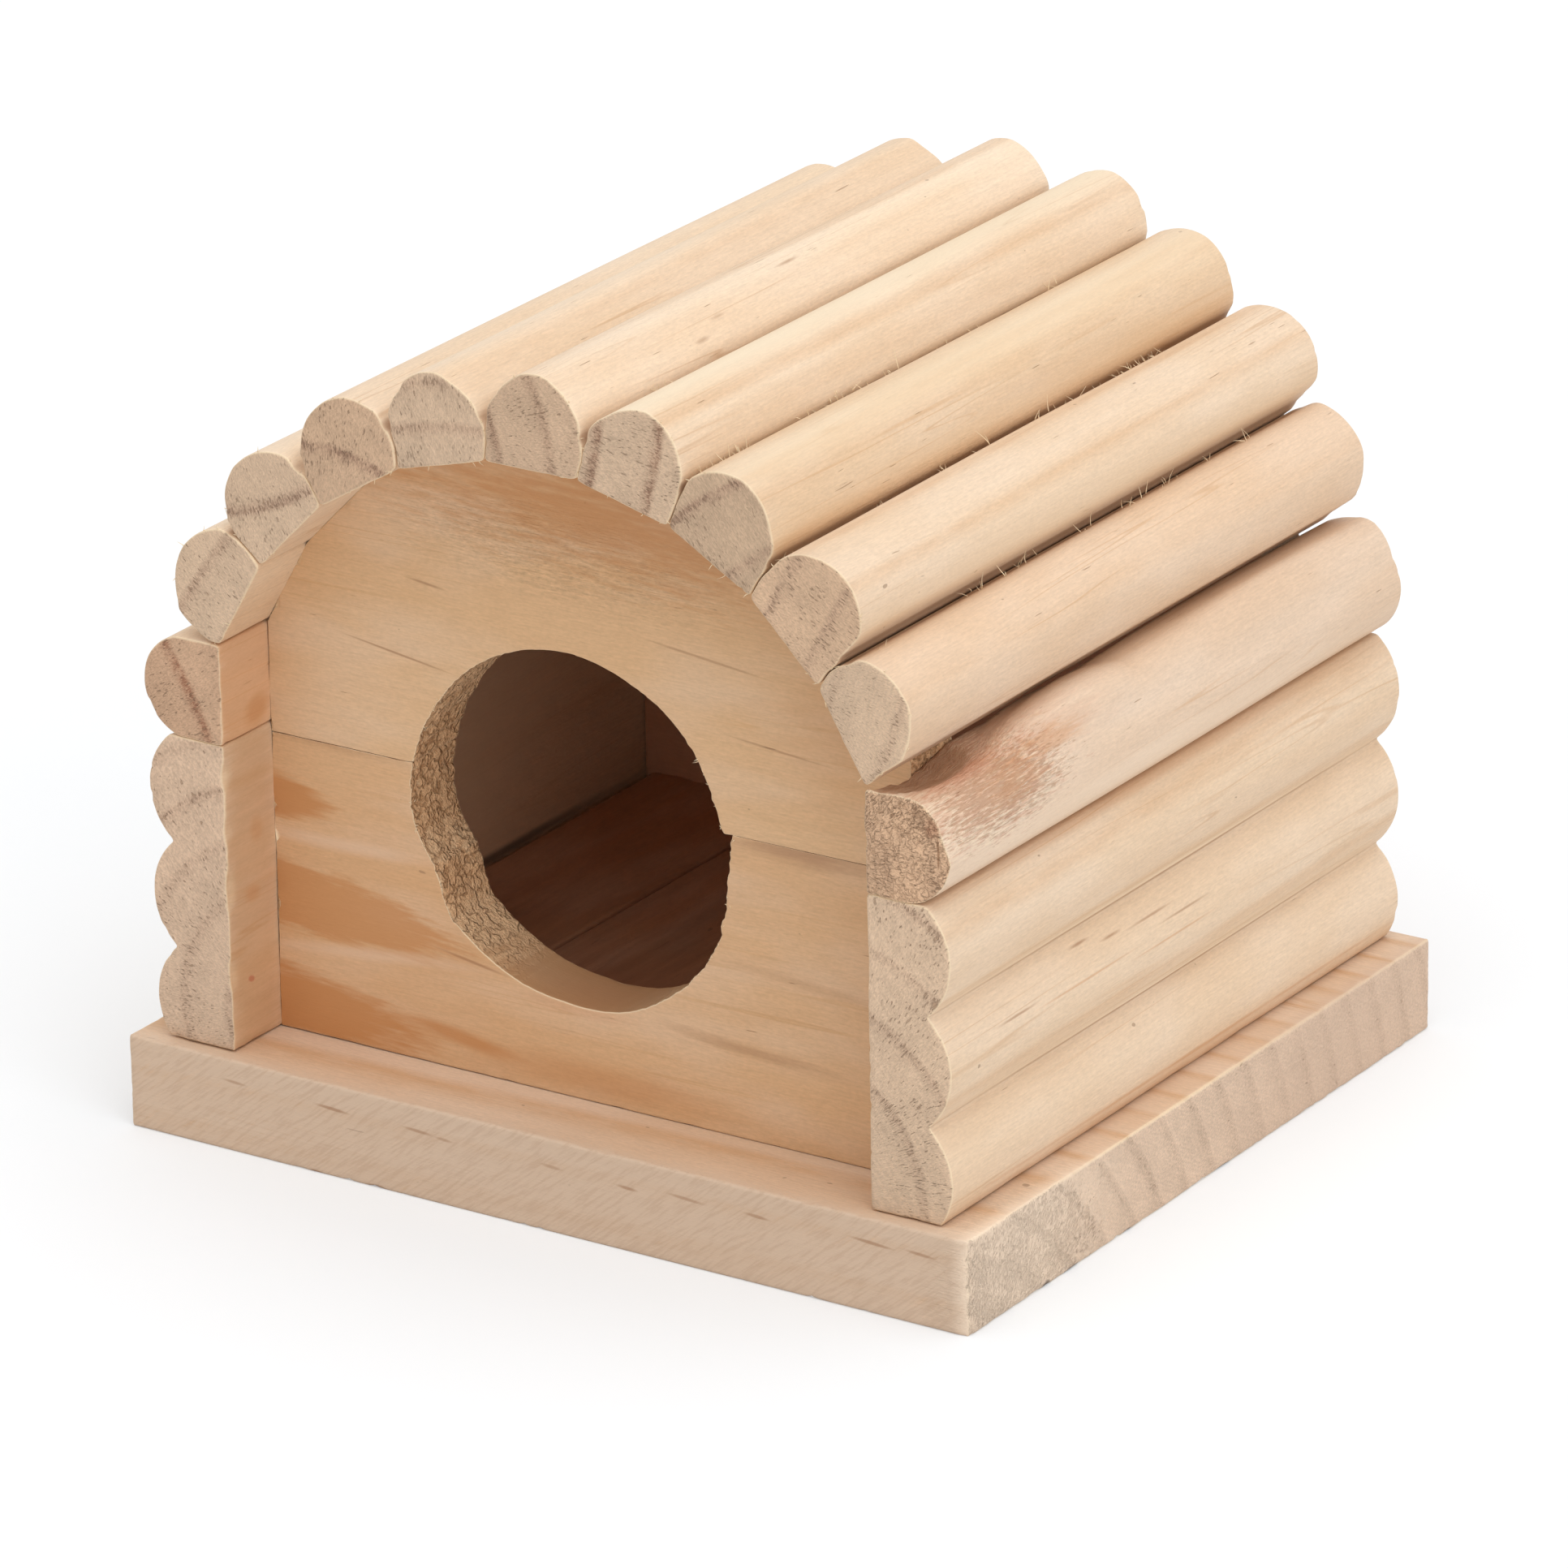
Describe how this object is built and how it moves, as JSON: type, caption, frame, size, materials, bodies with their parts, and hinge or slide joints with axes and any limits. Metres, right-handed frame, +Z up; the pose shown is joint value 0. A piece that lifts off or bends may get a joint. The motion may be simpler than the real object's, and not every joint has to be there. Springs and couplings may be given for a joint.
{
  "type": "hamster house",
  "caption": "Small wooden pet house with an arched log roof, scalloped side walls, a round entrance hole under a short porch and a flat base board.",
  "frame": {"origin": "middle of the underside of the base board, where the house rests", "axes": "+Z up, the entrance faces -Y, +X to the right seen from the entrance side"},
  "size_m": [0.12, 0.107, 0.1064],
  "materials": {
    "base_pine": "raw sanded pine, sawn ends",
    "floor_pine": "raw sanded pine",
    "wall_pine": "raw milled pine, sawn ends",
    "log_pine": "raw milled pine, sawn ends",
    "panel_pine_lower": "raw sanded pine with heartwood streaks",
    "panel_pine_upper": "raw sanded pine",
    "nail_steel": "bright wire nail"
  },
  "bodies": {
    "root": {"base_board": "base_pine", "floor_board_left": "floor_pine", "floor_board_right": "floor_pine", "wall_board_left": "wall_pine", "wall_board_right": "wall_pine", "wall_log_left": "log_pine", "wall_log_right": "log_pine", "arch_log_1": "log_pine", "arch_log_2": "log_pine", "arch_log_3": "log_pine", "arch_log_4": "log_pine", "arch_log_5": "log_pine", "arch_log_6": "log_pine", "arch_log_7": "log_pine", "arch_log_8": "log_pine", "arch_log_9": "log_pine", "front_panel_lower": "panel_pine_lower", "front_panel_upper": "panel_pine_upper", "back_panel_lower": "panel_pine_lower", "back_panel_upper": "panel_pine_upper", "base_nails": "nail_steel"}
  },
  "joints": []
}
